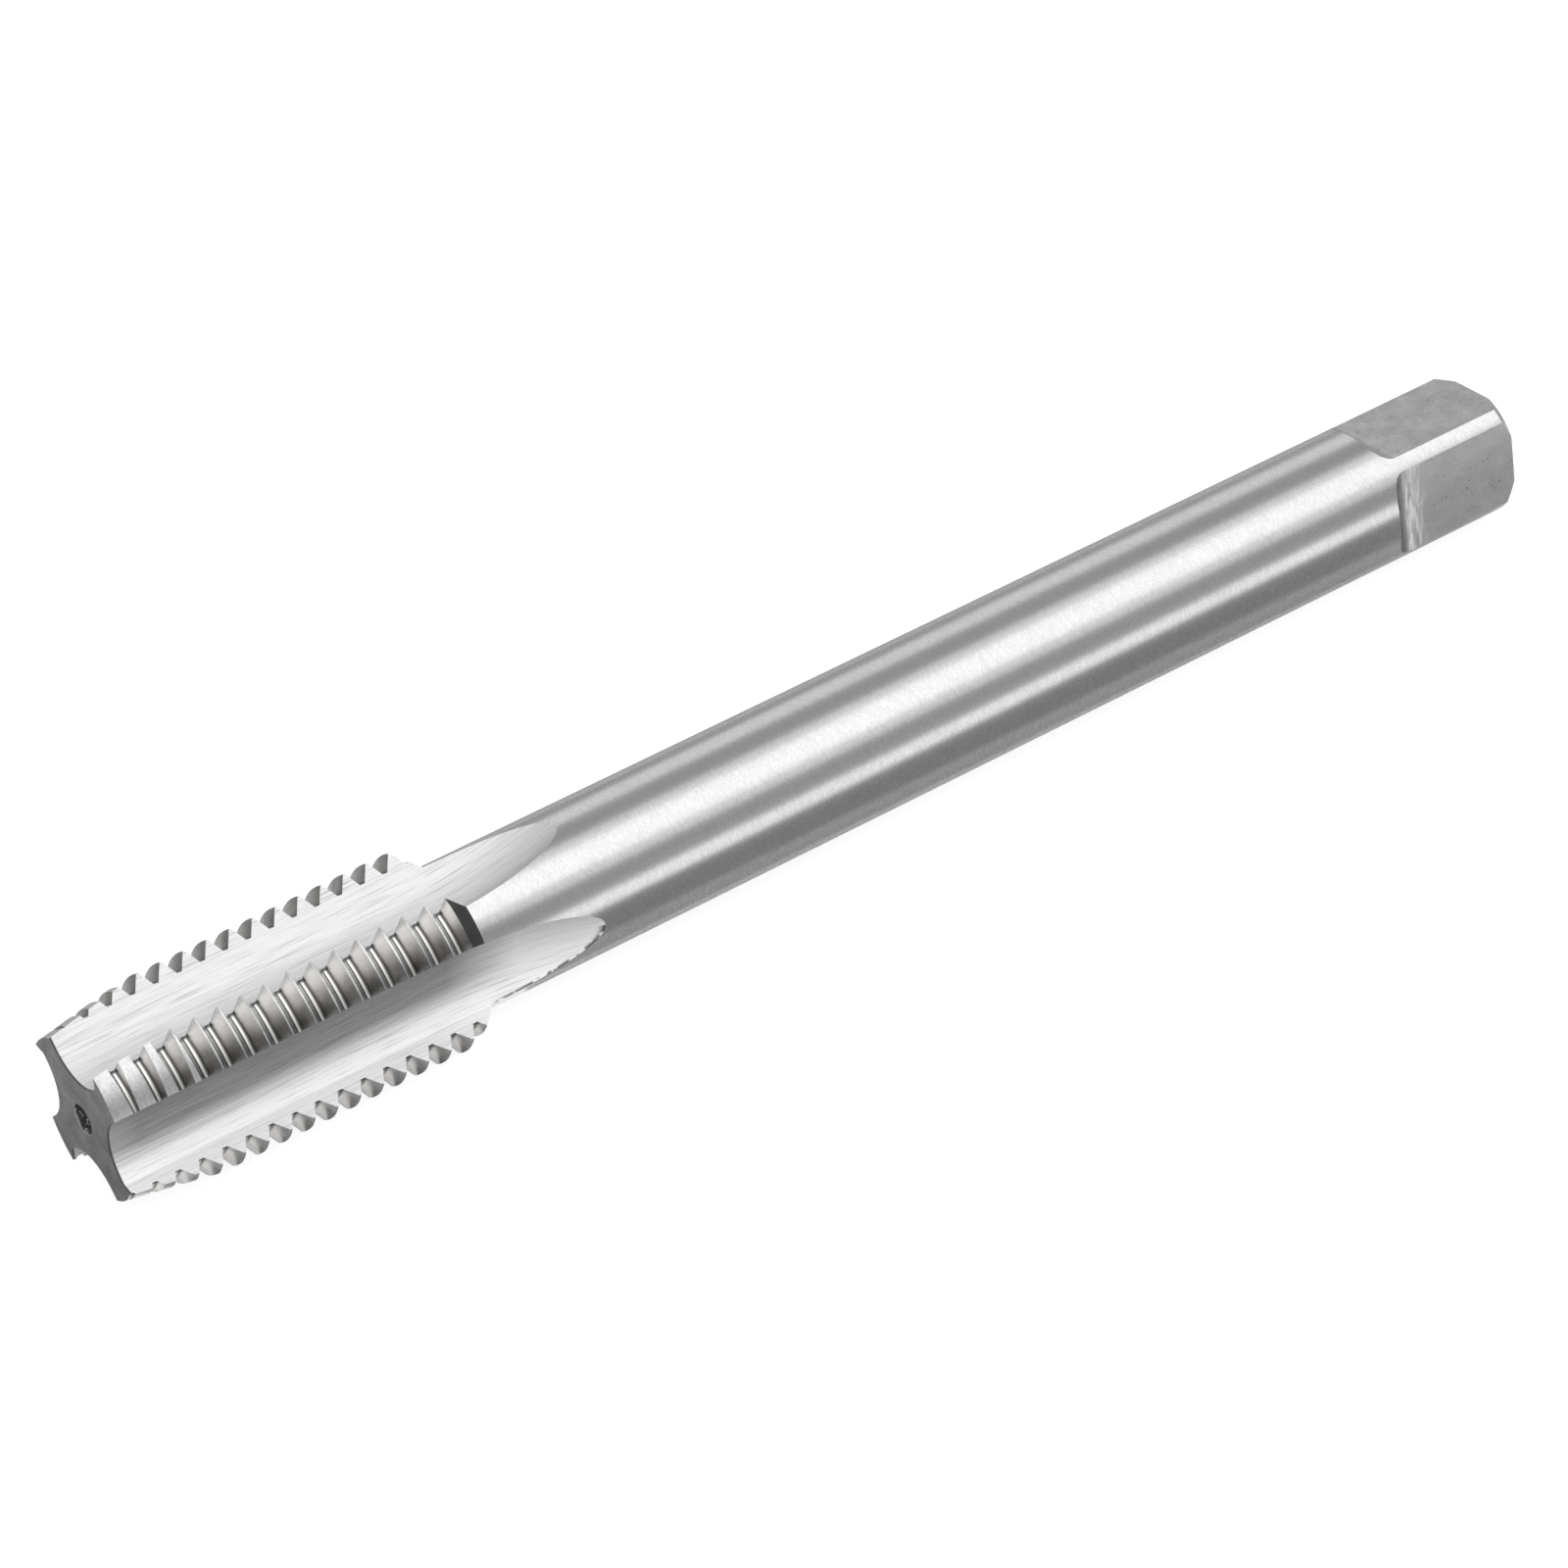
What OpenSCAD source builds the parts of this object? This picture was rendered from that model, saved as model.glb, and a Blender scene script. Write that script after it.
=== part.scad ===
// A long hand tap, ground all over from one bar of tool steel.
// It is drawn upright with its tip at the bottom, then laid along +X with a flute facing down.
// Angles are measured about the tap's own axis, positive the way its right-hand thread turns.

/* [Overall] */
// Length from the tip face to the rear face
overall_length = 200; // [150:1:260]
// Diameter of the plain shank
shank_d = 18; // [16.5:0.1:19.2]
// Chamfer round the rear face
rear_chamfer = 1.35; // [0.4:0.05:1.7]

/* [Thread] */
// Diameter over the full crests
crest_d = 24.1; // [23.6:0.1:24.6]
// Diameter at the bottom of the thread
root_d = 20.3; // [20:0.1:20.9]
// Distance from one thread to the next
pitch = 3; // [2.9:0.1:3.5]
// Angle between the flanks of the thread
flank_angle = 60; // [50:1:62]
// Width of the flat left on each crest
crest_flat = 0.22; // [0.2:0.02:0.5]
// Height of a groove above the tip, where it crosses the middle of the first land
first_groove = 2.55; // [1:0.05:3.5]
// Height at which the thread starts to run down to the shank
thread_length = 45.2; // [30:0.1:55]
// Slope of the cone behind the thread
back_angle = 45; // [30:1:60]

/* [Lead] */
// Diameter over the cutting corners at the tip
lead_tip_d = 21; // [20:0.1:22.5]
// Height at which the cutting corners reach the full crest
lead_length = 9; // [6:0.5:15]
// Drop of each land behind its cutting edge, over the width of the land
lead_relief = 0.6; // [0.2:0.02:1]

/* [Flutes] */
// Number of flutes
flute_count = 4; // [3:1:5]
// Diameter of the solid core between the flutes
core_d = 11; // [10:0.1:12]
// Radius of the bottom of a flute
flute_r = 6.1; // [5.4:0.1:6.6]
// Turn from the middle line of a land to the deepest line of the flute ahead of it
flute_turn = 43; // [40:0.5:46]
// Distance from the deepest line of a flute to its cutting face, at the bottom of the thread
face_offset = 4.8; // [4.2:0.05:5.4]
// Lean of the cutting face away from the middle of the flute
face_lean = 5; // [0:0.5:10]
// Length of a flute at its full depth
flute_length = 42.3; // [25:0.1:50]
// Radius of the wheel that ground the flutes, which gives their run-out
wheel_r = 65; // [30:1:90]

/* [Drive square] */
// Size of the square across its flats
square_size = 14; // [12:0.1:15.5]
// Length of the flats, up to where they start to run out
flat_length = 17; // [10:0.1:25]
// Radius of the run-out of the flats
flat_runout_r = 2.7; // [2:0.1:8]
// Turn from the middle line of a land to the middle of a flat
square_turn = 36.4; // [0:0.1:45]

/* [Centre holes] */
// Diameter of the cone at its mouth
centre_mouth_d = 3.9; // [3:0.05:6]
// Diameter of the small drilling below the cone
centre_pilot_d = 2; // [1:0.1:2.5]
// Depth of the small drilling, from the face
centre_depth = 4.5; // [3.5:0.1:8]
// Angle of the cone
centre_angle = 60; // [60:1:90]

/* [Hidden] */
$fn = 96;
// Overshoot of a cutter past the face that it cuts
over = 1;
crest_r = crest_d / 2;
root_r = root_d / 2;
core_r = core_d / 2;
shank_r = shank_d / 2;

// Thread
groove_depth = crest_r - root_r;
groove_slope = tan(flank_angle / 2);
root_flat = pitch - crest_flat - 2 * groove_depth * groove_slope;
// A groove cutter stays just clear of the next one outside the crest
groove_over = 0.3 * crest_flat / groove_slope;
lead_angle = atan(pitch / (PI * (crest_r + root_r)));
groove_count = ceil((thread_length + pitch) / pitch) + 1;
back_length = (crest_r - shank_r) / tan(back_angle);

// Flutes and lands
land_step = 360 / flute_count;
// Distance of the flute's centre line from the axis
flute_reach = core_r + flute_r;
// Distance of the wheel's centre from the axis
wheel_reach = core_r + wheel_r;
// A cutter's section goes this far out from the axis, clear of the blank
cutter_out = crest_r + 2 * over;
// Depth of the faint edge where the side of a flute crosses its round bottom
heel_bite = 0.06;
// Where the line of the cutting face meets the crest, out from the axis and across the flute
lean_slope = tan(face_lean);
face_start = face_offset - root_r * lean_slope;
crest_out = (sqrt(pow(crest_r, 2) * (1 + pow(lean_slope, 2)) - pow(face_start, 2)) - face_start * lean_slope)
    / (1 + pow(lean_slope, 2));
crest_across = face_start + crest_out * lean_slope;
// A land reaches from its cutting corner to its heel
heel_angle = asin((flute_reach * sin(flute_turn) - flute_r) / crest_r);
cutting_angle = flute_turn + atan2(crest_across, crest_out) - land_step;
land_width = heel_angle - cutting_angle;
land_middle = (heel_angle + cutting_angle) / 2;
// Cutters on one land end in the flutes beside it
land_sweep = 0.85 * land_step;
// The wheel is followed until it has left the bar
wheel_sweep = acos((wheel_reach - cutter_out) / wheel_r);

// Lead
lead_slope = (crest_r - lead_tip_d / 2) / lead_length;
lead_shift = lead_relief / (2 * sin(land_width / 2));
lead_middle_r = (lead_tip_d - lead_relief) / 2;
lead_cut_length = (cutter_out + lead_relief - lead_middle_r) / lead_slope;

// Drive square
flat_end = overall_length - flat_length;
corner_turn = 90;
// The tap lies on the flute behind its second land, with a flat facing down
rest_turn = -square_turn - corner_turn;

// The bar as turned: crest cylinder, cone down to the shank, shank and rear chamfer
module bar() {
    rotate_extrude()
        polygon([
            [0, 0],
            [crest_r, 0],
            [crest_r, thread_length],
            [shank_r, thread_length + back_length],
            [shank_r, overall_length - rear_chamfer],
            [shank_r - rear_chamfer, overall_length],
            [0, overall_length]
        ]);
}

// One turn of the thread groove over one land, as a ring tipped by the lead angle
module groove() {
    half_root = root_flat / 2;
    half_mouth = half_root + (groove_depth + groove_over) * groove_slope;
    rotate([lead_angle, 0, 0])
        rotate([0, 0, -land_sweep / 2])
            rotate_extrude(angle = land_sweep)
                polygon([
                    [root_r, -half_root],
                    [crest_r + groove_over, -half_mouth],
                    [crest_r + groove_over, half_mouth],
                    [root_r, half_root]
                ]);
}

// Places something over the middle of a land
module on_land(land) {
    rotate([0, 0, land * land_step + land_middle])
        children();
}

// The thread, land by land: each groove stands higher as the helix turns on
module thread_grooves() {
    for (land = [0 : flute_count - 1])
        for (turn = [-1 : groove_count - 1])
            on_land(land)
                translate([0, 0, first_groove + (turn + (land * land_step + land_middle) / 360) * pitch])
                    groove();
}

// The taper of the lead on one land, round a centre set over so that the land drops to its heel
module lead_cut() {
    translate([0, -lead_shift, 0])
        rotate([0, 0, -land_sweep / 2])
            rotate_extrude(angle = land_sweep)
                polygon([
                    [lead_middle_r - over * lead_slope, -over],
                    [lead_middle_r + lead_cut_length * lead_slope, lead_cut_length],
                    [cutter_out + lead_cut_length * lead_slope, lead_cut_length],
                    [cutter_out + lead_cut_length * lead_slope, -over]
                ]);
}

// Section of the flute wheel, measured out from the wheel's centre and across its rim
module wheel_section() {
    rim_centre = wheel_r - flute_r;
    inner = wheel_reach - cutter_out;
    outer = wheel_r + over;
    // Here the straight side that leaves the heel of a land runs into the round of the rim
    heel_x = rim_centre + (flute_r - heel_bite) * sin(flute_turn);
    heel_y = -(flute_r - heel_bite) * cos(flute_turn);
    face_y = face_start + wheel_reach * lean_slope;
    difference() {
        polygon([
            [inner, heel_y - (heel_x - inner) * tan(flute_turn)],
            [outer, heel_y + (outer - heel_x) * tan(flute_turn)],
            [outer, face_y - outer * lean_slope],
            [inner, face_y - inner * lean_slope]
        ]);
        // What lies past the round of the rim
        difference() {
            polygon([
                [rim_centre, 0],
                [rim_centre + 2 * flute_r * sin(flute_turn), -2 * flute_r * cos(flute_turn)],
                [outer + flute_r, face_y],
                [rim_centre, face_y]
            ]);
            translate([rim_centre, 0])
                circle(r = flute_r);
        }
    }
}

// One flute: straight to its full depth, then run out along the wheel
module flute_cut() {
    rotate([0, 0, flute_turn])
        translate([wheel_reach, 0, flute_length]) {
            rotate([0, 180, 0])
                linear_extrude(height = flute_length + over)
                    wheel_section();
            rotate([90, 0, 180])
                rotate_extrude(angle = wheel_sweep)
                    wheel_section();
        }
}

// One flat of the drive square, with its rounded run-out
module flat_cut() {
    depth = shank_r - square_size / 2 + over;
    translate([square_size / 2, -shank_r, flat_end])
        cube([depth, shank_d, flat_length + over]);
    translate([square_size / 2 + flat_runout_r, 0, flat_end])
        rotate([90, 0, 0])
            cylinder(r = flat_runout_r, h = shank_d, center = true);
}

// A centre hole, drawn downwards from its face
module centre_hole() {
    mouth_r = centre_mouth_d / 2;
    pilot_r = centre_pilot_d / 2;
    cone_slope = tan(centre_angle / 2);
    cone_depth = (mouth_r - pilot_r) / cone_slope;
    rotate_extrude()
        polygon([
            [0, over],
            [mouth_r + over * cone_slope, over],
            [pilot_r, -cone_depth],
            [pilot_r, -centre_depth],
            [0, -centre_depth - pilot_r * cone_slope]
        ]);
}

module fluted_bar() {
    difference() {
        bar();
        for (flute = [0 : flute_count - 1])
            rotate([0, 0, flute * land_step])
                flute_cut();
    }
}

module lead_ground_bar() {
    difference() {
        fluted_bar();
        for (land = [0 : flute_count - 1])
            on_land(land)
                lead_cut();
    }
}

module threaded_bar() {
    difference() {
        lead_ground_bar();
        thread_grooves();
    }
}

module tap() {
    color("gainsboro")
        rotate([0, 90, 0])
            rotate([0, 0, rest_turn])
                difference() {
                    threaded_bar();
                    for (side = [0 : 3])
                        rotate([0, 0, side * corner_turn + square_turn])
                            flat_cut();
                    rotate([180, 0, 0])
                        centre_hole();
                    translate([0, 0, overall_length])
                        centre_hole();
                }
}

tap();
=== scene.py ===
"""A long hand tap, ground all over from one bar of tool steel, lying on a pale floor.

The tap is made as its maker makes it: a turned blank, then the flute wheel, the lead wheel, the thread wheel,
the wheel for the square and the centre drill. Each tool leaves its own finish on what it cuts. The tap's axis
is X, and its tip face is at the origin.
"""

import math

import bpy
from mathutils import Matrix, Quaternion, Vector


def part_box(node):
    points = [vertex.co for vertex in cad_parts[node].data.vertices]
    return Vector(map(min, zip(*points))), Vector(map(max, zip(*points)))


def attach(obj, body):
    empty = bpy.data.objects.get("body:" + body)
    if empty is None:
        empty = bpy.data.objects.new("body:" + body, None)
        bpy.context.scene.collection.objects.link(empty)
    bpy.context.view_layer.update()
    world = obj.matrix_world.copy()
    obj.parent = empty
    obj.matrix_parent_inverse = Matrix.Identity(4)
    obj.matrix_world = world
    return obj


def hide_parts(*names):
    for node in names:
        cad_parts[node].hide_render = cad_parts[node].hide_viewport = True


MM = 0.001

# Sizes of the tap, in metres
CREST_R = 12.05 * MM
ROOT_R = 10.15 * MM
SHANK_R = 9 * MM
CORE_R = 5.5 * MM
THREAD_LENGTH = 45.2 * MM
BACK_LENGTH = CREST_R - SHANK_R
SHANK_START = THREAD_LENGTH + BACK_LENGTH
REAR_CHAMFER = 1.35 * MM
PITCH = 3 * MM
FLANK_SLOPE = math.tan(math.radians(30))
CREST_FLAT = 0.22 * MM
FIRST_GROOVE = 2.55 * MM
LEAD_TIP_R = 10.5 * MM
LEAD_LENGTH = 9 * MM
LEAD_RELIEF = 0.6 * MM
FLUTES = 4
FLUTE_R = 6.1 * MM
FLUTE_TURN = math.radians(43)
FACE_OFFSET = 4.8 * MM
FACE_LEAN = math.radians(5)
FLUTE_LENGTH = 42.3 * MM
WHEEL_R = 65 * MM
SQUARE = 14 * MM
SQUARE_SIDES = 4
FLAT_LENGTH = 17 * MM
FLAT_RUNOUT_R = 2.7 * MM
SQUARE_TURN = math.radians(36.4)
CENTRE_MOUTH_R = 1.95 * MM
CENTRE_PILOT_R = 1 * MM
CENTRE_DEPTH = 4.5 * MM
CENTRE_SLOPE = math.tan(math.radians(30))

# Overshoot of a tool past the face that it cuts, and how close counts as touching
OVER = 1 * MM
TOUCHING = 0.01 * MM
# Steps of a full turn and of a short arc
RING = 360
ARC = 40
# Edges with a smaller turn than this between their faces are shown round
ROUND_EDGE = math.radians(8)

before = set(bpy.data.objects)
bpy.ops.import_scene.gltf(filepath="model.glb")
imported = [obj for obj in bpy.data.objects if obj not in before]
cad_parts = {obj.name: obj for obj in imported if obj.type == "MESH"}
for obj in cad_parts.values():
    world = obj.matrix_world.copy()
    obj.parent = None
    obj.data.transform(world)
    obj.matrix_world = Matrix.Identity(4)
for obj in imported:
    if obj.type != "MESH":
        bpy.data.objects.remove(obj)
_, far_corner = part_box("tap")
LENGTH = far_corner.x
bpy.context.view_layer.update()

# Angles are measured about the axis from the middle of the first land, the way the thread turns.
# A tool made above the axis, on the +Z side, comes to its place by this turn more.
TOOL_TURN = math.radians(90) - SQUARE_TURN
LAND_STEP = math.tau / FLUTES
# Distance from the axis to the middle of a flute's round bottom, to the flute wheel's centre, and to the
# outer side of a tool
FLUTE_REACH = CORE_R + FLUTE_R
WHEEL_REACH = CORE_R + WHEEL_R
CUTTER_OUT = CREST_R + 2 * OVER

# The line of a cutting face passes the axis at FACE_START, and meets the crests out at face_out
FACE_SLOPE = math.tan(FACE_LEAN)
FACE_START = FACE_OFFSET - ROOT_R * FACE_SLOPE
stretch = 1 + FACE_SLOPE ** 2
face_out = (math.sqrt(CREST_R ** 2 * stretch - FACE_START ** 2) - FACE_START * FACE_SLOPE) / stretch
face_across = FACE_START + face_out * FACE_SLOPE

# A land reaches from its cutting edge to its heel
HEEL_ANGLE = math.asin((FLUTE_REACH * math.sin(FLUTE_TURN) - FLUTE_R) / CREST_R)
CUTTING_ANGLE = FLUTE_TURN + math.atan2(face_across, face_out) - LAND_STEP
LAND_WIDTH = HEEL_ANGLE - CUTTING_ANGLE
LAND_MIDDLE = (HEEL_ANGLE + CUTTING_ANGLE) / 2
# A wheel that grinds one land stops in the flutes beside it
LAND_SWEEP = 0.85 * LAND_STEP


# Ways of working

def in_edit(kind="VERT"):
    bpy.ops.object.mode_set(mode="EDIT")
    bpy.ops.mesh.select_mode(type=kind)


def apply_place():
    bpy.ops.object.transform_apply(location=True, rotation=True, scale=True)


def pick(test, kind):
    """Selects the edges or faces of the piece in edit mode whose middle passes the test."""
    bpy.ops.mesh.select_all(action="DESELECT")
    bpy.ops.object.mode_set(mode="OBJECT")
    mesh = bpy.context.object.data
    for item in {"EDGE": mesh.edges, "FACE": mesh.polygons}[kind]:
        corners = [mesh.vertices[index].co for index in item.vertices]
        item.select = test(sum(corners, Vector()) / len(corners))
    in_edit(kind)


def start_at(corner):
    """Starts an outline in edit mode with one corner."""
    bpy.ops.object.select_all(action="DESELECT")
    bpy.ops.mesh.primitive_plane_add(size=OVER, location=corner)
    apply_place()
    in_edit()
    bpy.ops.mesh.select_all(action="SELECT")
    bpy.ops.mesh.merge(type="CENTER")
    return corner


def draw_on(last, *corners):
    """Draws straight lines on from the last corner of the outline."""
    for corner in corners:
        step = Vector(corner) - Vector(last)
        bpy.ops.mesh.extrude_vertices_move(TRANSFORM_OT_translate={"value": step})
        last = corner


def close_outline():
    bpy.ops.mesh.select_all(action="SELECT")
    bpy.ops.mesh.edge_face_add()


def finish_tool(name, material, turn=0):
    """Leaves edit mode with all faces pointing outwards, and turns the tool about the tap's axis."""
    bpy.ops.mesh.select_all(action="SELECT")
    bpy.ops.mesh.normals_make_consistent(inside=False)
    bpy.ops.object.mode_set(mode="OBJECT")
    tool = bpy.context.object
    tool.name = name
    tool.data.materials.append(material)
    tool.rotation_euler.x = TOOL_TURN + turn
    apply_place()
    return tool


def cut(piece, tool):
    """Takes the tool's shape out of the piece. The new faces get the tool's material."""
    modifier = piece.modifiers.new("cut", "BOOLEAN")
    modifier.operation = "DIFFERENCE"
    modifier.solver = "EXACT"
    modifier.material_mode = "TRANSFER"
    modifier.object = tool
    bpy.ops.object.select_all(action="DESELECT")
    bpy.context.view_layer.objects.active = piece
    piece.select_set(True)
    bpy.ops.object.modifier_apply(modifier=modifier.name)
    bpy.data.objects.remove(tool)


# Ways of building a finish

def plain_material(name, values):
    """A material with these plain values on its shader."""
    material = bpy.data.materials.new(name)
    material.use_nodes = True
    for socket, value in values.items():
        material.node_tree.nodes["Principled BSDF"].inputs[socket].default_value = value
    return material


def steel(name, roughness, metal=1, gloss=0.5):
    """A bare metal. The finishes below add the marks of their tools to it."""
    return plain_material(name, {"Metallic": metal, "Roughness": roughness, "Specular IOR Level": gloss})


def add(material, kind, **settings):
    """Adds one node to the material's finish."""
    node = material.node_tree.nodes.new("ShaderNode" + kind)
    for name, value in settings.items():
        setattr(node, name, value)
    return node


def join(material, source, target):
    material.node_tree.links.new(source, target)


def set_shader(material, socket, source):
    join(material, source, material.node_tree.nodes["Principled BSDF"].inputs[socket])


def turned_place(material, turn=(0, 0, 0)):
    """The place on the tap, after a turn of the pattern."""
    place = add(material, "TexCoord")
    mapping = add(material, "Mapping")
    mapping.inputs["Rotation"].default_value = turn
    join(material, place.outputs["Object"], mapping.inputs["Vector"])
    return mapping.outputs["Vector"]


def place_of(material, turn=(0, 0, 0)):
    """X, Y and Z on the tap, in metres."""
    parts = add(material, "SeparateXYZ")
    join(material, turned_place(material, turn), parts.inputs[0])
    return parts.outputs[0], parts.outputs[1], parts.outputs[2]


def marks_at(material, place, lines, detail=3):
    """Marks of grit: how many there are to a metre along X, Y and Z of a place."""
    stretched = add(material, "VectorMath", operation="MULTIPLY")
    stretched.inputs[1].default_value = lines
    noise = add(material, "TexNoise")
    noise.inputs["Scale"].default_value = 1
    noise.inputs["Detail"].default_value = detail
    join(material, place, stretched.inputs[0])
    join(material, stretched.outputs[0], noise.inputs["Vector"])
    return noise.outputs["Fac"]


def marks(material, lines, turn=(0, 0, 0), detail=3):
    return marks_at(material, turned_place(material, turn), lines, detail)


def slant(degrees):
    """The turn of a pattern whose marks are slanted on the shank or on a flat."""
    return 0, 0, math.radians(degrees)


def combine(material, operation, first, second=0):
    """A sum on one or two values, each one a socket or a plain number."""
    node = add(material, "Math", operation=operation)
    for value, socket in zip((first, second), node.inputs):
        if isinstance(value, (int, float)):
            socket.default_value = value
        else:
            join(material, value, socket)
    return node.outputs[0]


def plus(material, first, second):
    return combine(material, "ADD", first, second)


def minus(material, first, second):
    return combine(material, "SUBTRACT", first, second)


def times(material, first, second):
    return combine(material, "MULTIPLY", first, second)


def lay_over(material, first, second, share):
    """Two patterns in one. The second has this share of the whole."""
    return plus(material, times(material, first, 1 - share), times(material, second, share))


def spread(material, source, low_in, high_in, low_out, high_out):
    """Stretches a value from one range to another and stops at its ends."""
    node = add(material, "MapRange")
    limits = {"From Min": low_in, "From Max": high_in, "To Min": low_out, "To Max": high_out}
    for socket, value in limits.items():
        node.inputs[socket].default_value = value
    join(material, source, node.inputs["Value"])
    return node.outputs["Result"]


def warm(tone, warmth):
    """A grey with a little more red and less blue."""
    return tone * (1 + warmth), tone, tone * (1 - 1.4 * warmth)


def shades(material, source, *stops):
    """Colours along a value. Each stop is a place from 0 to 1, and a grey tone or a colour."""
    node = add(material, "ValToRGB")
    elements = node.color_ramp.elements
    colours = [(place, warm(tone, 0) if isinstance(tone, (int, float)) else tone) for place, tone in stops]
    for element, (place, colour) in zip((elements[0], elements[1]), (colours[0], colours[-1])):
        element.position = place
        element.color = (*colour, 1)
    for place, colour in colours[1:-1]:
        elements.new(place).color = (*colour, 1)
    join(material, source, node.inputs["Fac"])
    return node.outputs["Color"]


def blend_colours(material, share, first, second):
    node = add(material, "Mix", data_type="RGBA")
    join(material, share, node.inputs["Factor"])
    join(material, first, node.inputs[6])
    join(material, second, node.inputs[7])
    return node.outputs[2]


def scratch(material, height, strength, depth):
    """Raises and sinks the surface along the marks."""
    bump = add(material, "Bump")
    bump.inputs["Strength"].default_value = strength
    bump.inputs["Distance"].default_value = depth
    join(material, height, bump.inputs["Height"])
    set_shader(material, "Normal", bump.outputs["Normal"])


# Ways for the gleam to be stretched, as shares of a turn
ROUND_TAP = 0
ALONG_TAP = 0.25


def brush(material, strength, turn):
    """Stretches the gleam of ground steel across its marks."""
    round_tap = add(material, "Tangent", direction_type="RADIAL", axis="X")
    shader = material.node_tree.nodes["Principled BSDF"]
    shader.inputs["Anisotropic"].default_value = strength
    shader.inputs["Anisotropic Rotation"].default_value = turn
    set_shader(material, "Tangent", round_tap.outputs["Tangent"])


def distance_out(material):
    """Distance from the tap's axis, in metres."""
    _, across, up = place_of(material)
    squares = plus(material, times(material, across, across), times(material, up, up))
    return combine(material, "SQRT", squares)


def angle_round(material):
    """Angle about the tap's axis, from the middle of the first land, as the thread turns."""
    _, across, up = place_of(material)
    return minus(material, combine(material, "ARCTAN2", up, across), math.pi / 2 + TOOL_TURN)


# The finish that each tool leaves on the steel

def round_ground(name, dark, light, roughness, lines, patches=160, share=0.06):
    """Ground between centres: a fine grain, drawn out round the bar and a little slanted by the wheel's feed.

    lines is how many marks of the grain there are to a metre. Patches have this share of its tone.
    """
    material = steel(name, roughness)
    grain = marks(material, (lines,) * 3, detail=2)
    one_way = marks(material, (lines * 0.6, lines / 6, lines / 6), slant(22))
    other_way = marks(material, (lines * 0.6, lines / 9, lines / 9), slant(-30), 2)
    drawn_out = lay_over(material, one_way, other_way, 0.5)
    cloud = marks(material, (patches,) * 3, detail=2)
    tone = lay_over(material, lay_over(material, grain, drawn_out, 0.5), cloud, share)
    set_shader(material, "Base Color", shades(material, tone, (0.36, dark), (0.64, light)))
    set_shader(material, "Roughness", spread(material, tone, 0.35, 0.65, roughness + 0.02, roughness - 0.02))
    scratch(material, grain, 0.06, 0.02 * MM)
    brush(material, 0.6, ALONG_TAP)
    return material


def flute_ground(name, turn, heel_shade_and_burrs):
    """Bright streaks along the flute, which follow the wheel up its run-out.

    The heel share puts painted shade on the heel side of the flute, and burrs on the edge of the run-out.
    The rest puts a little painted shade on the cutting face's side and darkens the end of the run-out.
    """
    face_shade_share = 1 - heel_shade_and_burrs
    material = steel(name, 0.5, 0.2)
    along, across, up = place_of(material, (turn, 0, 0))

    # On the run-out the streaks climb with the rim of the wheel
    past = combine(material, "MAXIMUM", minus(material, along, FLUTE_LENGTH), 0)
    wheel_height = combine(material, "SQRT", minus(material, WHEEL_R ** 2, times(material, past, past)))
    climb = minus(material, WHEEL_R, wheel_height)
    above_rim = minus(material, combine(material, "ABSOLUTE", up), climb)
    on_wheel = add(material, "CombineXYZ")
    for value, socket in zip((along, across, above_rim), on_wheel.inputs):
        join(material, value, socket)
    fine = marks_at(material, on_wheel.outputs[0], (150, 8200, 5600), 5)
    coarse = marks_at(material, on_wheel.outputs[0], (45, 2300, 1600))
    streaks = lay_over(material, fine, coarse, 0.22)
    bright = shades(material, streaks, (0.3, 0.5), (0.42, 0.83), (0.5, 0.96), (0.65, 1))
    # The dark colour that the painted shade blends in
    matt = shades(material, streaks, (0.32, 0.21), (0.44, 0.3), (0.52, 0.35), (0.65, 0.42))
    burred_and_shaded = shades(material, streaks, (0, 0.03), (1, 0.12))

    # Painted shade across the flute: one side is darker than the other, less so at the tip and on the run-out
    heel_side = times(material, across, combine(material, "SIGN", up))
    painted_heel_shade = spread(material, heel_side, -0.56 * FLUTE_R, -0.16 * FLUTE_R, 0, heel_shade_and_burrs)
    painted_face_shade = spread(material, heel_side, -0.8 * FLUTE_R, 0.5 * FLUTE_R, 0.45 * face_shade_share, 0)
    from_tip = spread(material, along, 0, 0.1 * FLUTE_LENGTH, 0.7, 1)
    to_shank = spread(material, along, 1.04 * FLUTE_LENGTH, 1.25 * FLUTE_LENGTH, 1, face_shade_share)
    painted_side_shade = times(material, times(material, from_tip, to_shank), plus(material, painted_heel_shade, painted_face_shade))
    # The end of the run-out is darker
    darker_end = spread(material, along, 1.1 * FLUTE_LENGTH, 1.45 * FLUTE_LENGTH, 0.16 * face_shade_share, 0.44 * face_shade_share)
    surface = blend_colours(material, plus(material, darker_end, painted_side_shade), bright, matt)

    # Chips of burr on the edge of the run-out, on its cutting face's side, and a burr round the tip face
    at_edge = spread(material, distance_out(material), SHANK_R - 0.3 * MM, SHANK_R - 0.05 * MM, 0, 1)
    on_shank = spread(material, along, SHANK_START, SHANK_START + MM, 0, heel_shade_and_burrs)
    half_turns = combine(material, "DIVIDE", minus(material, angle_round(material), FLUTE_TURN), math.pi)
    face_side = spread(material, combine(material, "FRACT", half_turns), 0.4, 0.45, 1, 0)
    chips = spread(material, marks(material, (900,) * 3), 0.45, 0.52, 0, 1)
    edge_burr = times(material, times(material, at_edge, on_shank), times(material, face_side, chips))
    tip_burr = spread(material, along, 0.2 * MM, 0.32 * MM, 1, 0)
    burr_and_shade = combine(material, "MAXIMUM", edge_burr, tip_burr)

    set_shader(material, "Base Color", blend_colours(material, burr_and_shade, surface, burred_and_shaded))
    set_shader(material, "Roughness", spread(material, streaks, 0.35, 0.65, 0.52, 0.42))
    scratch(material, streaks, 0.2, 0.03 * MM)
    brush(material, 0.5, ROUND_TAP)
    return material


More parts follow.
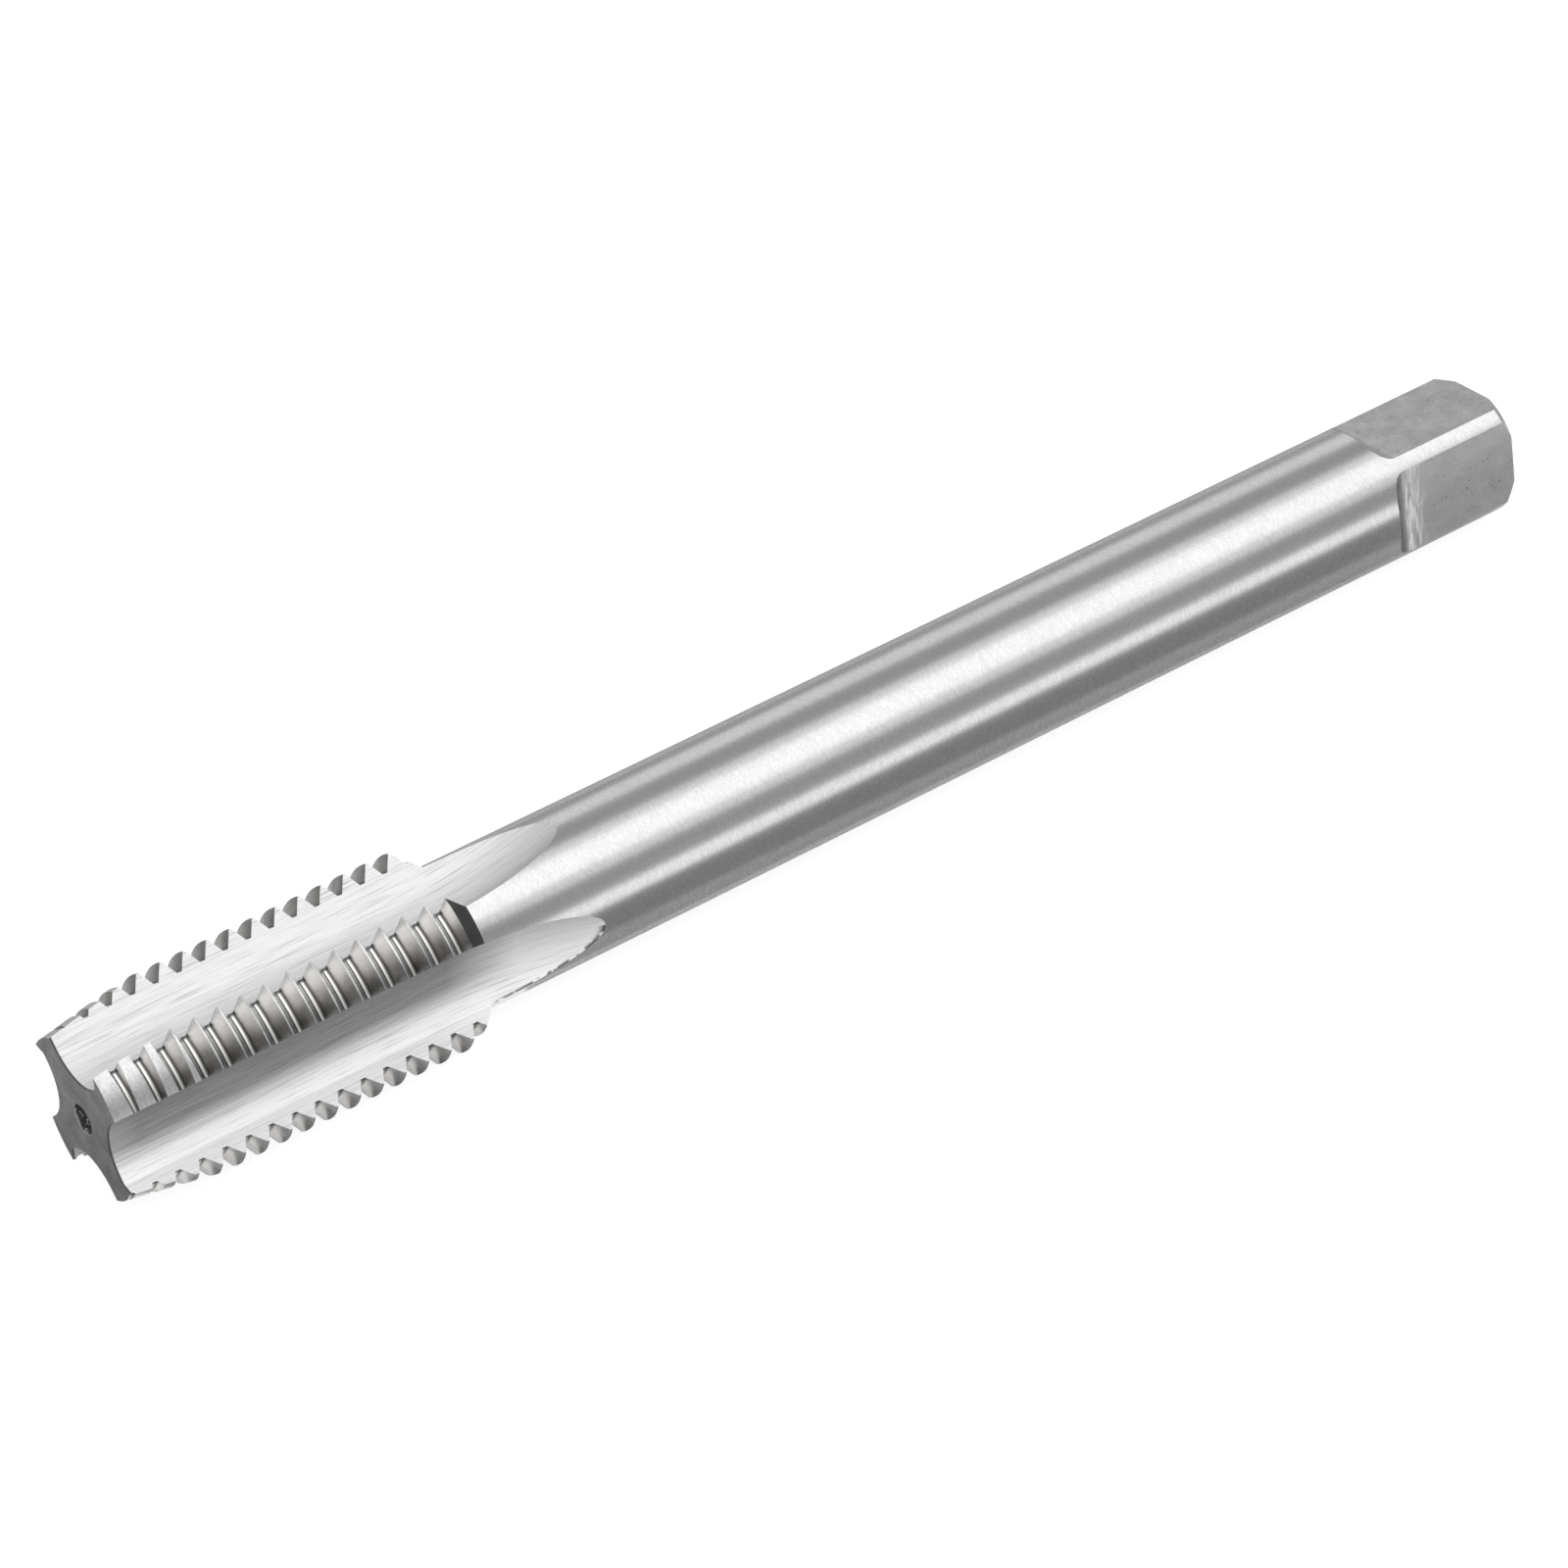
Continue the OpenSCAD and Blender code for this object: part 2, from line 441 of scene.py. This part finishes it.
def thread_ground(name):
    """Warm grey flanks, with painted light at the cutting edge and painted shade at the heel. A painted
    highlight line in the root, painted shade in its corners.
    """
    material = steel(name, 0.32)
    along, _, _ = place_of(material)
    out = distance_out(material)
    angle = angle_round(material)
    mottle = marks(material, (700, 500, 500), detail=4)
    lines = marks(material, (5000,) * 3, detail=2)

    # Each flank is painted bright at the cutting edge of its land and dark at the heel, as painted light and
    # shade, with soft blotches
    lands = combine(material, "DIVIDE", minus(material, angle, CUTTING_ANGLE), LAND_STEP)
    behind_edge = combine(material, "FRACT", lands)
    blotches = times(material, minus(material, mottle, 0.5), 0.3)
    flank = shades(
        material, plus(material, behind_edge, blotches), (0, warm(0.97, 0.01)), (0.12, warm(0.76, 0.015)),
        (0.26, warm(0.44, 0.02)), (0.4, warm(0.22, 0.02)), (0.55, warm(0.13, 0.01)))

    # Across the groove, from 0 to 1 between two crests, with the root at a half
    pitches = combine(material, "DIVIDE", minus(material, along, FIRST_GROOVE), PITCH)
    turned = minus(material, pitches, combine(material, "DIVIDE", angle, math.tau))
    across_groove = combine(material, "FRACT", plus(material, turned, 0.5))
    # Painted highlight: a bright line along the middle of the root, with painted shade in its corners
    root = shades(
        material, across_groove, (0.4, 0.1), (0.43, 0.12), (0.455, warm(0.9, 0.02)),
        (0.52, warm(0.9, 0.02)), (0.55, warm(0.25, 0.02)), (0.6, warm(0.2, 0.02)))
    root_share = spread(material, out, ROOT_R + 0.02 * MM, ROOT_R + 0.25 * MM, 1, 0)
    wall = blend_colours(material, root_share, flank, root)

    # Painted shade sits in the root where the cutting face ends it
    at_edge = spread(material, behind_edge, 0.058, 0.072, 1, 0)
    at_root = spread(material, out, ROOT_R + 0.1 * MM, ROOT_R + 0.35 * MM, 1, 0)
    burr_and_shade = times(material, at_edge, at_root)
    burred_and_shaded = shades(material, lines, (0, 0.04), (1, 0.2))

    set_shader(material, "Base Color", blend_colours(material, burr_and_shade, wall, burred_and_shaded))
    set_shader(material, "Roughness", spread(material, mottle, 0.3, 0.7, 0.38, 0.26))
    scratch(material, lines, 0.1, 0.02 * MM)
    return material


def faced(name, dark, light, roughness, metal=1, gloss=0.5):
    """A turned face: faint rings and a dull tone. With no metal share it is the black scale of hardening."""
    material = steel(name, roughness, metal, gloss)
    rings = marks(material, (0, 2500, 2500))
    cloud = marks(material, (420,) * 3, detail=4)
    tone = lay_over(material, rings, cloud, 0.6)
    set_shader(material, "Base Color", shades(material, tone, (0.3, dark), (0.7, light)))
    set_shader(material, "Roughness", spread(material, tone, 0.3, 0.7, roughness + 0.05, roughness - 0.05))
    scratch(material, cloud, 0.08, 0.05 * MM)
    return material


def drilled(name):
    """A centre hole: dull where it opens, and painted dark deeper in, as shade, with a few bright chips."""
    material = steel(name, 0.3, 0.1)
    along, _, _ = place_of(material)
    depth = combine(material, "MINIMUM", along, minus(material, LENGTH, along))
    # Deeper than about 0.3 mm the hole is painted dark: painted shade
    rough_edge = times(material, marks(material, (1600,) * 3), 0.5 * MM)
    deep_shade = spread(material, plus(material, depth, rough_edge), 0.3 * MM, 0.45 * MM, 0, 1)
    chips = marks(material, (2600,) * 3, (0.3, 0.1, 0), 2)
    bare = shades(material, chips, (0.3, 0.36), (0.6, 0.56))
    shaded_with_chips = shades(material, chips, (0.5, 0.02), (0.62, 0.1), (0.68, 0.7))
    set_shader(material, "Base Color", blend_colours(material, deep_shade, bare, shaded_with_chips))
    set_shader(material, "Roughness", spread(material, chips, 0.3, 0.7, 0.4, 0.2))
    scratch(material, chips, 0.3, 0.05 * MM)
    return material


def square_milled(name):
    """Matt flats with a soft mottle and small pits, and the cutter's marks where the run-outs meet them.

    The upright flats are painted a little paler, as painted light, and show the marks as a painted highlight.
    The level ones hardly do.
    """
    material = steel(name, 0.5)
    along, across, _ = place_of(material)
    grain = marks(material, (3000, 4200, 4200), slant(8), 2)
    cloud = marks(material, (420, 520, 520))
    tone = lay_over(material, grain, cloud, 0.55)
    # Painted light: the upright flats get a paler tone than the level ones
    upright = spread(material, combine(material, "ABSOLUTE", across), 0.44 * SQUARE, 0.48 * SQUARE, 0.15, 1)
    level_flat = shades(material, tone, (0.34, 0.5), (0.5, 0.56), (0.66, 0.63))
    upright_flat = shades(material, tone, (0.34, 0.64), (0.5, 0.72), (0.66, 0.8))
    flat = blend_colours(material, upright, level_flat, upright_flat)
    pits = spread(material, marks(material, (2300,) * 3, (0.4, 0.2, 0.1), 1), 0.7, 0.75, 0, 1)
    pitted = blend_colours(material, pits, flat, shades(material, cloud, (0.45, 0.2), (0.55, 0.95)))

    # The cutter's marks lie at the foot of the run-out and on the first few millimetres of the flat.
    # They are painted bright, as a highlight, mostly on the upright flats
    start = LENGTH - FLAT_LENGTH
    sweep = marks(material, (3600, 420, 420), slant(7))
    from_foot = spread(material, along, start - 0.4 * MM, start, 0, 1)
    to_flat = spread(material, along, start + 0.8 * MM, start + 3.4 * MM, 1, 0)
    marked = spread(material, sweep, 0.38, 0.6, 0, 1)
    gleam = times(material, times(material, times(material, from_foot, to_flat), upright), marked)
    swept = blend_colours(material, gleam, pitted, shades(material, tone, (0.3, 0.9), (0.7, 1)))

    # The run-out itself gets painted shade
    before_flat = spread(material, along, start - 1.2 * MM, start - 0.2 * MM, 1, 0)
    ramp = times(material, upright, before_flat)
    ramp_painted_shade = shades(material, sweep, (0.3, 0.22), (0.7, 0.42))

    set_shader(material, "Base Color", blend_colours(material, ramp, swept, ramp_painted_shade))
    set_shader(material, "Metallic", spread(material, gleam, 0, 1, 1, 0.35))
    set_shader(material, "Roughness", spread(material, tone, 0.3, 0.7, 0.58, 0.44))
    scratch(material, tone, 0.2, 0.05 * MM)
    return material


shank_steel = round_ground("polished_shank", 0.63, 0.8, 0.28, 5600)
crest_steel = round_ground("ground_crests", 0.34, 0.84, 0.32, 4200, patches=320, share=0.6)
lead_steel = round_ground("ground_lead", 0.66, 0.92, 0.38, 3600)
# Painted shade on each flute: at 1 on its heel side, with burrs on the run-out's edge, at 0 on its cutting
# face's side and the end of its run-out. The first two face the camera, and the far ones are like them
HEEL_SHADE_AND_BURRS = (1, 0, 0.4, 0)
flute_steels = [
    flute_ground(f"ground_flute_{flute + 1}", -TOOL_TURN - FLUTE_TURN - flute * LAND_STEP, heel_shade_and_burrs)
    for flute, heel_shade_and_burrs in enumerate(HEEL_SHADE_AND_BURRS)]
thread_steel = thread_ground("ground_thread")
square_steel = square_milled("milled_square")
tip_steel = faced("faced_tip", 0.24, 0.5, 0.32)
cone_steel = faced("turned_cone", 0.02, 0.035, 0.5, metal=0, gloss=0.25)
rear_steel = faced("faced_rear", 0.5, 0.62, 0.35)
centre_steel = drilled("drilled_centre")


# The blank and the tools

def turned_blank():
    """The bar as turned: crest cylinder, cone down to the shank, shank and rear chamfer."""
    bpy.ops.object.select_all(action="DESELECT")
    bpy.ops.mesh.primitive_cylinder_add(
        vertices=RING, radius=CREST_R, depth=THREAD_LENGTH, end_fill_type="NGON",
        location=(THREAD_LENGTH / 2, 0, 0), rotation=(0, math.pi / 2, 0))
    apply_place()
    blank = bpy.context.object
    blank.name = "hand_tap"
    finishes = (crest_steel, tip_steel, cone_steel, shank_steel, rear_steel)
    for material in finishes:
        blank.data.materials.append(material)

    # Each part that is drawn out: how far, how wide its end is against its start, and its finish
    parts = (
        (BACK_LENGTH, SHANK_R / CREST_R, cone_steel),
        (LENGTH - REAR_CHAMFER - SHANK_START, 1, shank_steel),
        (REAR_CHAMFER, (SHANK_R - REAR_CHAMFER) / SHANK_R, rear_steel),
    )
    in_edit("FACE")
    pick(lambda middle: middle.x > THREAD_LENGTH - OVER and middle.yz.length < OVER, "FACE")
    for reach, share, _ in parts:
        bpy.ops.mesh.extrude_region_move(TRANSFORM_OT_translate={"value": (reach, 0, 0)})
        bpy.ops.transform.resize(value=(1, share, share))

    def give_finish(material, test):
        pick(test, "FACE")
        blank.active_material_index = finishes.index(material)
        bpy.ops.object.material_slot_assign()

    start = THREAD_LENGTH
    for reach, _, material in parts:
        give_finish(material, lambda middle: start < middle.x < start + reach)
        start += reach
    for face_x, material in ((0, tip_steel), (LENGTH, rear_steel)):
        give_finish(material, lambda middle: abs(middle.x - face_x) < TOUCHING and middle.yz.length < OVER)
    bpy.ops.object.mode_set(mode="OBJECT")
    return blank


def flute_wheel(flute, material):
    """The grinding wheel's way through one flute: straight to full depth, then up along its own rim."""
    bottom = Vector((-OVER, 0, FLUTE_REACH))
    heel = bottom + FLUTE_R * Vector((0, math.cos(FLUTE_TURN), -math.sin(FLUTE_TURN)))
    heel_out = heel + (CUTTER_OUT - heel.z) * Vector((0, math.tan(FLUTE_TURN), 1))
    face_turn = math.asin((FACE_START + FLUTE_REACH * FACE_SLOPE) * math.cos(FACE_LEAN) / FLUTE_R) - FACE_LEAN
    face = bottom - FLUTE_R * Vector((0, math.sin(face_turn), math.cos(face_turn)))
    face_outer = Vector((-OVER, -FACE_START - CUTTER_OUT * FACE_SLOPE, CUTTER_OUT))
    draw_on(start_at(heel_out), heel)
    bpy.ops.mesh.spin(
        steps=ARC, angle=math.radians(90) - FLUTE_TURN + face_turn, center=bottom, axis=(1, 0, 0))
    draw_on(face, face_outer)
    close_outline()
    bpy.ops.mesh.extrude_region_move(TRANSFORM_OT_translate={"value": (OVER + FLUTE_LENGTH, 0, 0)})
    bpy.ops.mesh.spin(
        steps=ARC, angle=math.acos((WHEEL_REACH - CUTTER_OUT) / WHEEL_R),
        center=(FLUTE_LENGTH, 0, WHEEL_REACH), axis=(0, 1, 0))
    return finish_tool("flute_wheel", material, FLUTE_TURN + flute * LAND_STEP)


def lead_wheel(land, material):
    """The taper of the lead on one land, round a centre set over so that the land drops to its heel."""
    slope = (CREST_R - LEAD_TIP_R) / LEAD_LENGTH
    shift = LEAD_RELIEF / (2 * math.sin(LAND_WIDTH / 2))
    tip_r = LEAD_TIP_R - LEAD_RELIEF / 2
    reach = (CUTTER_OUT + LEAD_RELIEF - tip_r) / slope
    outer = CUTTER_OUT + reach * slope
    draw_on(start_at((-OVER, shift, tip_r - OVER * slope)),
            (reach, shift, tip_r + reach * slope),
            (reach, shift, outer),
            (-OVER, shift, outer))
    close_outline()
    bpy.ops.mesh.spin(steps=2 * ARC, angle=LAND_SWEEP, center=(0, shift, 0), axis=(-1, 0, 0))
    bpy.ops.mesh.select_all(action="SELECT")
    bpy.ops.transform.rotate(value=LAND_SWEEP / 2, orient_axis="X", center_override=(0, shift, 0))
    return finish_tool("lead_wheel", material, land * LAND_STEP + LAND_MIDDLE)


def thread_wheel(material):
    """The groove of the thread, as one helix from two turns before the tip to behind the last crest."""
    depth = CREST_R - ROOT_R
    # One turn of the wheel stays just clear of the next outside the crests
    over = 0.3 * CREST_FLAT / FLANK_SLOPE
    half_root = (PITCH - CREST_FLAT) / 2 - depth * FLANK_SLOPE
    half_mouth = half_root + (depth + over) * FLANK_SLOPE
    first = FIRST_GROOVE - 2 * PITCH
    turns = math.ceil(SHANK_START / PITCH) + 3
    draw_on(start_at((first - half_root, 0, ROOT_R)),
            (first - half_mouth, 0, CREST_R + over),
            (first + half_mouth, 0, CREST_R + over),
            (first + half_root, 0, ROOT_R))
    close_outline()
    bpy.ops.mesh.delete(type="ONLY_FACE")
    bpy.ops.object.mode_set(mode="OBJECT")
    modifier = bpy.context.object.modifiers.new("helix", "SCREW")
    modifier.axis = "X"
    modifier.screw_offset = PITCH
    modifier.iterations = turns
    modifier.steps = modifier.render_steps = RING
    modifier.use_merge_vertices = False
    bpy.ops.object.modifier_apply(modifier=modifier.name)
    in_edit("EDGE")
    bpy.ops.mesh.select_all(action="DESELECT")
    bpy.ops.mesh.select_non_manifold()
    bpy.ops.mesh.fill_holes(sides=4)
    return finish_tool("thread_wheel", material)


def square_wheel(side, material):
    """One flat of the drive square, with its rounded run-out."""
    runout = LENGTH - FLAT_LENGTH - FLAT_RUNOUT_R
    bottom = SQUARE / 2
    top = bottom + FLAT_RUNOUT_R
    bpy.ops.object.select_all(action="DESELECT")
    bpy.ops.mesh.primitive_cube_add(
        size=1, scale=(LENGTH + OVER - runout, 2 * CREST_R, top - bottom),
        location=((LENGTH + OVER + runout) / 2, 0, (top + bottom) / 2))
    apply_place()
    in_edit("EDGE")
    pick(lambda middle: abs(middle.x - runout) < TOUCHING and abs(middle.z - bottom) < TOUCHING, "EDGE")
    # The bevel stops just short of the top, so that its last edge stays clear of the one there
    bpy.ops.mesh.bevel(offset=FLAT_RUNOUT_R * 0.999, segments=ARC // 2, profile=0.5, clamp_overlap=False)
    return finish_tool("square_wheel", material, side * math.tau / SQUARE_SIDES + SQUARE_TURN)


def centre_drill(face_x, inward, material):
    """A 60 degree centre hole with its small drilling, in the tip face or the rear face."""
    cone = (CENTRE_MOUTH_R - CENTRE_PILOT_R) / CENTRE_SLOPE
    draw_on(start_at((face_x - inward * OVER, 0, 0)),
            (face_x - inward * OVER, 0, CENTRE_MOUTH_R + OVER * CENTRE_SLOPE),
            (face_x + inward * cone, 0, CENTRE_PILOT_R),
            (face_x + inward * CENTRE_DEPTH, 0, CENTRE_PILOT_R),
            (face_x + inward * (CENTRE_DEPTH + CENTRE_PILOT_R * CENTRE_SLOPE), 0, 0))
    bpy.ops.mesh.select_all(action="SELECT")
    bpy.ops.mesh.spin(steps=2 * ARC, angle=math.tau, center=(0, 0, 0), axis=(1, 0, 0), use_auto_merge=True)
    bpy.ops.mesh.select_all(action="SELECT")
    bpy.ops.mesh.remove_doubles(threshold=TOUCHING / 10)
    return finish_tool("centre_drill", material)


# Making the tap

tap = turned_blank()
for flute in range(FLUTES):
    cut(tap, flute_wheel(flute, flute_steels[flute]))
for land in range(FLUTES):
    cut(tap, lead_wheel(land, lead_steel))
cut(tap, thread_wheel(thread_steel))
for side in range(SQUARE_SIDES):
    cut(tap, square_wheel(side, square_steel))
cut(tap, centre_drill(0, 1, centre_steel))
cut(tap, centre_drill(LENGTH, -1, centre_steel))

bpy.ops.object.select_all(action="DESELECT")
bpy.context.view_layer.objects.active = tap
tap.select_set(True)
bpy.ops.object.shade_smooth_by_angle(angle=ROUND_EDGE)
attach(tap, "root")
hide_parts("tap")


# Floor and room

# The tap lies on the corners of two lands, so far round from straight down, and on the rear of its shank
CORNER_TURN = math.radians(27.5)
REST_Z = -CREST_R * math.cos(CORNER_TURN)
REST_TILT = math.atan((-SHANK_R - REST_Z) / (LENGTH - FLAT_LENGTH - FLAT_RUNOUT_R - THREAD_LENGTH))

FLOOR_SIZE = 8
FLOOR_TONE = 0.33
FLOOR_WHITE = 0.86
ROOM_TONE = 0.35
# Distance of the cards above the floor
CARD_HEIGHT = 0.3 * MM
WHITE = (1, 1, 1, 1)


def even_grey(tone):
    return tone, tone, tone, 1


def floor_material():
    """Pale matt board. The camera and the metal see it as white, and it keeps the shadow of the tap."""
    material = plain_material("pale_board", {
        "Base Color": even_grey(FLOOR_TONE), "Roughness": 0.9, "Specular IOR Level": 0,
        "Emission Color": WHITE})
    path = add(material, "LightPath")
    seen = combine(material, "MAXIMUM", path.outputs["Is Camera Ray"], path.outputs["Is Glossy Ray"])
    seen_through = combine(material, "MAXIMUM", seen, path.outputs["Is Transmission Ray"])
    set_shader(material, "Emission Strength", times(material, seen_through, FLOOR_WHITE))
    return material


bpy.ops.object.select_all(action="DESELECT")
bpy.ops.mesh.primitive_plane_add(
    size=FLOOR_SIZE, location=(THREAD_LENGTH, 0, REST_Z), rotation=(0, -REST_TILT, 0))
floor = bpy.context.object
floor.name = "floor"
floor.data.materials.append(floor_material())

world = bpy.data.worlds.new("studio")
bpy.context.scene.world = world
world.use_nodes = True
background = world.node_tree.nodes["Background"]
background.inputs["Color"].default_value = even_grey(ROOM_TONE)
background.inputs["Strength"].default_value = 1


def grey_card(name, near, far, tone, glow=0):
    """A card flat on the floor between two corners, which is seen only in the gleam of the metal.

    It gives the metal its dark side, as a photographer does. Where that is too dark, it glows a little.
    """
    bpy.ops.object.select_all(action="DESELECT")
    bpy.ops.mesh.primitive_plane_add(size=1, location=((near[0] + far[0]) / 2, (near[1] + far[1]) / 2, 0))
    card = bpy.context.object
    card.name = name
    card.scale = (far[0] - near[0], far[1] - near[1], 1)
    apply_place()
    card.rotation_euler.y = -REST_TILT
    card.location = (0, 0, REST_Z - math.tan(REST_TILT) * THREAD_LENGTH + CARD_HEIGHT)
    card.visible_camera = False
    card.visible_shadow = False
    card.visible_diffuse = False
    card.data.materials.append(plain_material(name, {
        "Base Color": even_grey(tone), "Roughness": 0.8, "Specular IOR Level": 0,
        "Emission Color": WHITE, "Emission Strength": glow}))


grey_card("front_card", (-0.03, -0.038), (0.26, -0.0118), 0.28)
grey_card("near_card", (-0.03, -0.0118), (0.26, -0.0062), 0.45)
# Under and tooth cards: painted shadow of the tap on the floor, seen in the metal; the tooth card's glow is
# painted light
grey_card("under_card", (0.055, -0.0062), (0.26, 0.012), 0.9)
grey_card("back_card", (-0.3, 0.012), (0.35, 0.35), 0.47)
grey_card("tip_card", (-0.3, -0.038), (-0.0005, 0.012), 0.46)
grey_card("tooth_card", (-0.0005, -0.0062), (0.055, 0.012), 0.45, glow=0.8)


# Light

LAMP_LENGTH = 2.4


def softbox(name, around, across, distance, strength, in_gleam=True, along=0.6):
    """A long lamp beside the tap, turned towards its axis and as long as LAMP_LENGTH.

    around is its angle round the axis, in degrees: 0 is level at the front, 90 is overhead. across is how
    wide it looks from the axis, in degrees. strength is how bright its face is, and along is where its middle
    is along X. Without in_gleam, it lights the metal but isn't seen in it.
    """
    out = Vector((0, -math.cos(math.radians(around)), math.sin(math.radians(around))))
    data = bpy.data.lights.new(name, "AREA")
    data.shape = "RECTANGLE"
    data.size = 2 * distance * math.tan(math.radians(across) / 2)
    data.size_y = LAMP_LENGTH
    data.energy = strength * math.pi * data.size * data.size_y
    lamp = bpy.data.objects.new(name, data)
    bpy.context.scene.collection.objects.link(lamp)
    lamp.location = distance * out + Vector((along, 0, 0))
    lamp.rotation_mode = "QUATERNION"
    towards_axis = Quaternion((1, 0, 0), math.pi / 2 - math.radians(around))
    lamp.rotation_quaternion = towards_axis @ Quaternion((0, 0, 1), math.pi / 2)
    lamp.visible_camera = False
    lamp.visible_glossy = in_gleam


softbox("key", 62, 34, 1.2, 0.55)
softbox("wide", 62, 62, 1.3, 0.5)
softbox("back", 140, 29, 1.3, 0.48)
softbox("fill", 64, 56, 1.45, 0.55, in_gleam=False)
softbox("low", 27, 44, 1.5, 0.95, in_gleam=False, along=-0.4)


# Camera, as it was fitted to the outline of the tap in the photograph

CAMERA_PLACE = Vector((-0.19607, -0.50352, 0.37123))
CAMERA_AIM = Vector((0.09417, -0.00042, -0.00057))
CAMERA_ROLL = math.radians(-8.787)
SENSOR_WIDTH = 36
LENS = 135.776

camera_data = bpy.data.cameras.new("camera")
camera_data.sensor_width = SENSOR_WIDTH
camera_data.lens = LENS
camera_data.clip_start = 10 * MM
camera = bpy.data.objects.new("camera", camera_data)
bpy.context.scene.collection.objects.link(camera)
camera.location = CAMERA_PLACE
camera.rotation_mode = "QUATERNION"
straight = (CAMERA_AIM - CAMERA_PLACE).to_track_quat("-Z", "Y")
camera.rotation_quaternion = straight @ Quaternion((0, 0, 1), CAMERA_ROLL)
bpy.context.scene.camera = camera
bpy.context.scene.view_settings.view_transform = "Standard"
